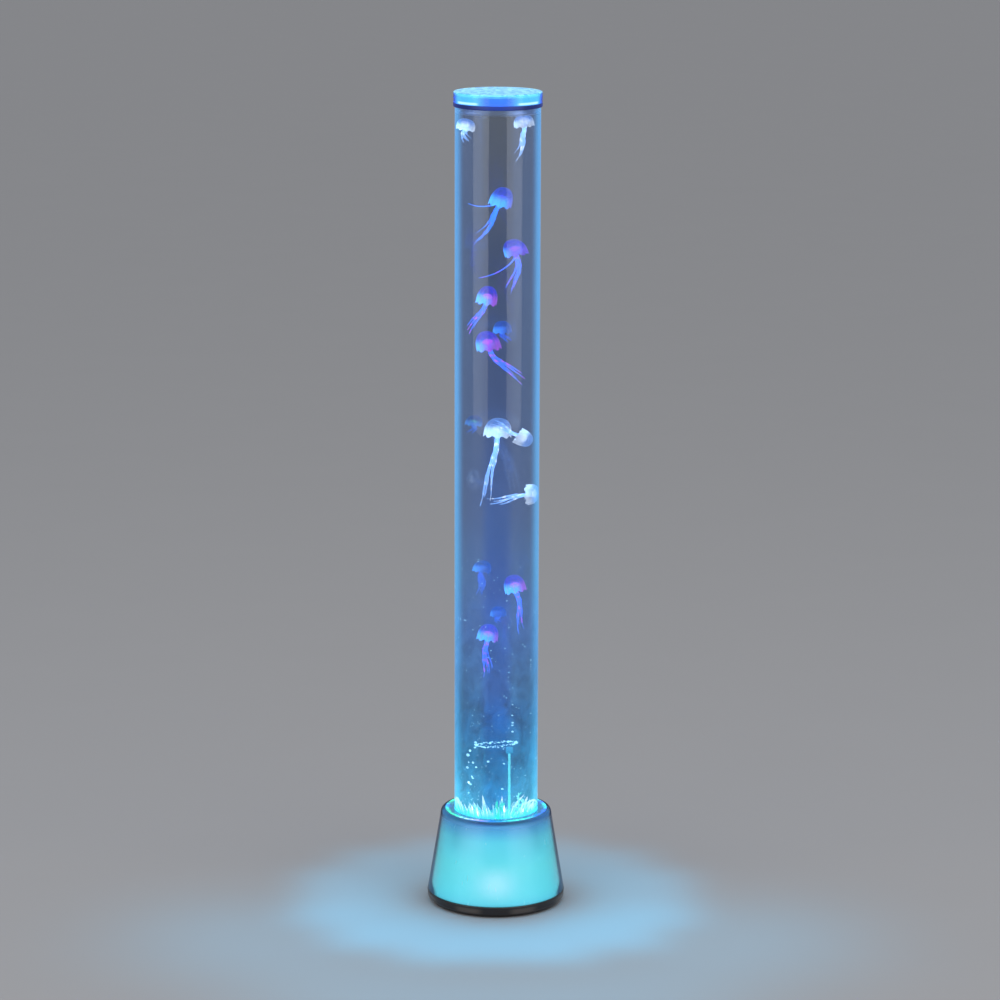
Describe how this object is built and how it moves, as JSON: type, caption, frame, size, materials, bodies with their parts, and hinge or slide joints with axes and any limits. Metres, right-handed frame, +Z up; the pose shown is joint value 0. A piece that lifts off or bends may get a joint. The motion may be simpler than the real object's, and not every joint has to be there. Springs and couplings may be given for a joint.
{
  "type": "bubble tube floor lamp",
  "caption": "Clear water-filled upright tube with drifting soft jellyfish, an air pump and lights in a glowing round cone base, and a lift-off cap.",
  "frame": {"origin": "centre of the rubber foot's ring at the floor, under the lamp's axis", "axes": "+Z up along the tube's axis, +Y towards the back with the inlet and the button"},
  "size_m": [0.165, 0.165, 0.975],
  "materials": {
    "black_plastic": "satin moulded plastic, brown-black",
    "rubber_black": "matt rubber",
    "screw_steel": "zinc-plated steel",
    "clear_blue": "clear acrylic, dark blue at its edges",
    "frosted": "frosted translucent plastic, lit from inside",
    "clear": "clear polished acrylic",
    "white_plastic": "white moulded plastic",
    "silicone_clear": "translucent silicone",
    "silicone_navy": "dark blue silicone",
    "board_white": "white solder mask",
    "board_blue": "dark blue solder mask",
    "board_green": "green solder mask",
    "light_white": "light source, blue and cyan light",
    "light_colour": "light source, changing colours",
    "dark_parts": "black moulded plastic",
    "wire_red": "insulated wire",
    "copper": "enamelled copper wire",
    "iron": "soft iron",
    "magnet": "sintered magnet",
    "air_stone": "porous sintered mineral",
    "grass": "translucent pale green plastic, glowing in the light below it",
    "leaves": "green plastic leaves",
    "crystal": "pale pink and white crystals",
    "cap_clear": "clear acrylic lit blue from below",
    "jelly_blue": "soft translucent silicone, pale blue",
    "jelly_violet": "soft translucent silicone, pale violet"
  },
  "bodies": {
    "base": {"base_pan": "black_plastic", "foot_ring": "rubber_black", "base_screws": "screw_steel", "outer_shell": "clear_blue", "diffuser": "frosted", "top_ring": "clear_blue", "tube_socket": "white_plastic", "socket_gasket": "silicone_clear", "tube_light_board": "board_white", "tube_lights": "light_white", "rim_light_board": "board_blue", "rim_lights": "light_colour", "shell_light_strip": "board_white", "shell_lights": "light_white", "control_board": "board_green", "board_parts": "dark_parts", "dc_inlet": "dark_parts", "switch_body": "dark_parts", "wires": "wire_red", "pump_case": "white_plastic", "pump_lid": "white_plastic", "pump_coil": "copper", "pump_core": "iron", "pivot_pin": "screw_steel", "pump_diaphragm": "rubber_black", "pump_chamber": "white_plastic", "pump_isolators": "rubber_black", "lower_hose": "silicone_clear", "check_valve": "white_plastic", "upper_hose": "silicone_clear", "air_fitting": "white_plastic", "tube": "clear", "tube_floor": "clear", "air_pipe": "clear", "air_stone": "air_stone", "grass_mat": "grass", "leaf_plants": "leaves", "crystals": "crystal"},
    "power_button": {"power_button": "black_plastic"},
    "pump_lever": {"pump_arm": "white_plastic", "arm_magnet": "magnet"},
    "cap": {"top_cap": "cap_clear", "cap_seal": "silicone_navy"},
    "jellyfish_01": {"jellyfish_01": "jelly_blue"},
    "jellyfish_02": {"jellyfish_02": "jelly_violet"},
    "jellyfish_03": {"jellyfish_03": "jelly_blue"},
    "jellyfish_04": {"jellyfish_04": "jelly_blue"},
    "jellyfish_05": {"jellyfish_05": "jelly_violet"},
    "jellyfish_06": {"jellyfish_06": "jelly_blue"},
    "jellyfish_07": {"jellyfish_07": "jelly_blue"},
    "jellyfish_08": {"jellyfish_08": "jelly_violet"},
    "jellyfish_09": {"jellyfish_09": "jelly_blue"},
    "jellyfish_10": {"jellyfish_10": "jelly_blue"},
    "jellyfish_11": {"jellyfish_11": "jelly_violet"},
    "jellyfish_12": {"jellyfish_12": "jelly_blue"},
    "jellyfish_13": {"jellyfish_13": "jelly_blue"},
    "jellyfish_14": {"jellyfish_14": "jelly_violet"},
    "jellyfish_15": {"jellyfish_15": "jelly_blue"}
  },
  "joints": [
    {"name": "power_button_press", "type": "slide", "parent": "base", "child": "power_button", "axis": [-0.342, -0.9397, 0], "range_m": [0, 0.0012], "stiffness_N_per_m": 800},
    {"name": "pump_lever_rock", "type": "hinge", "parent": "base", "child": "pump_lever", "pos_m": [0.024, -0.008, 0.023], "axis": [0, 1, 0], "range_deg": [-2, 2], "stiffness_Nm_per_rad": 0.6, "deforming": ["pump_diaphragm"]},
    {"name": "cap_lift", "type": "slide", "parent": "base", "child": "cap", "axis": [0, 0, 1], "range_m": [0, 0.04]},
    {"name": "jellyfish_01_drift", "type": "slide", "parent": "base", "child": "jellyfish_01", "axis": [0, 0, 1], "range_m": [-0.03, 0.004]},
    {"name": "jellyfish_02_drift", "type": "slide", "parent": "base", "child": "jellyfish_02", "axis": [0, 0, 1], "range_m": [-0.014, 0]},
    {"name": "jellyfish_03_drift", "type": "slide", "parent": "base", "child": "jellyfish_03", "axis": [0, 0, 1], "range_m": [-0.014, 0.014]},
    {"name": "jellyfish_04_drift", "type": "slide", "parent": "base", "child": "jellyfish_04", "axis": [0, 0, 1], "range_m": [-0.014, 0.03]},
    {"name": "jellyfish_05_drift", "type": "slide", "parent": "base", "child": "jellyfish_05", "axis": [0, 0, 1], "range_m": [-0.012, 0.014]},
    {"name": "jellyfish_06_drift", "type": "slide", "parent": "base", "child": "jellyfish_06", "axis": [0, 0, 1], "range_m": [-0.04, 0.014]},
    {"name": "jellyfish_07_drift", "type": "slide", "parent": "base", "child": "jellyfish_07", "axis": [0, 0, 1], "range_m": [-0.012, 0.012]},
    {"name": "jellyfish_08_drift", "type": "slide", "parent": "base", "child": "jellyfish_08", "axis": [0, 0, 1], "range_m": [-0.05, 0.05]},
    {"name": "jellyfish_09_drift", "type": "slide", "parent": "base", "child": "jellyfish_09", "axis": [0, 0, 1], "range_m": [-0.014, 0.012]},
    {"name": "jellyfish_10_drift", "type": "slide", "parent": "base", "child": "jellyfish_10", "axis": [0, 0, 1], "range_m": [-0.025, 0.035]},
    {"name": "jellyfish_11_drift", "type": "slide", "parent": "base", "child": "jellyfish_11", "axis": [0, 0, 1], "range_m": [-0.025, 0.016]},
    {"name": "jellyfish_12_drift", "type": "slide", "parent": "base", "child": "jellyfish_12", "axis": [0, 0, 1], "range_m": [-0.004, 0.02]},
    {"name": "jellyfish_13_drift", "type": "slide", "parent": "base", "child": "jellyfish_13", "axis": [0, 0, 1], "range_m": [-0.03, 0.025]},
    {"name": "jellyfish_14_drift", "type": "slide", "parent": "base", "child": "jellyfish_14", "axis": [0, 0, 1], "range_m": [-0.06, 0.004]},
    {"name": "jellyfish_15_drift", "type": "slide", "parent": "base", "child": "jellyfish_15", "axis": [0, 0, 1], "range_m": [-0.045, 0.02]}
  ]
}
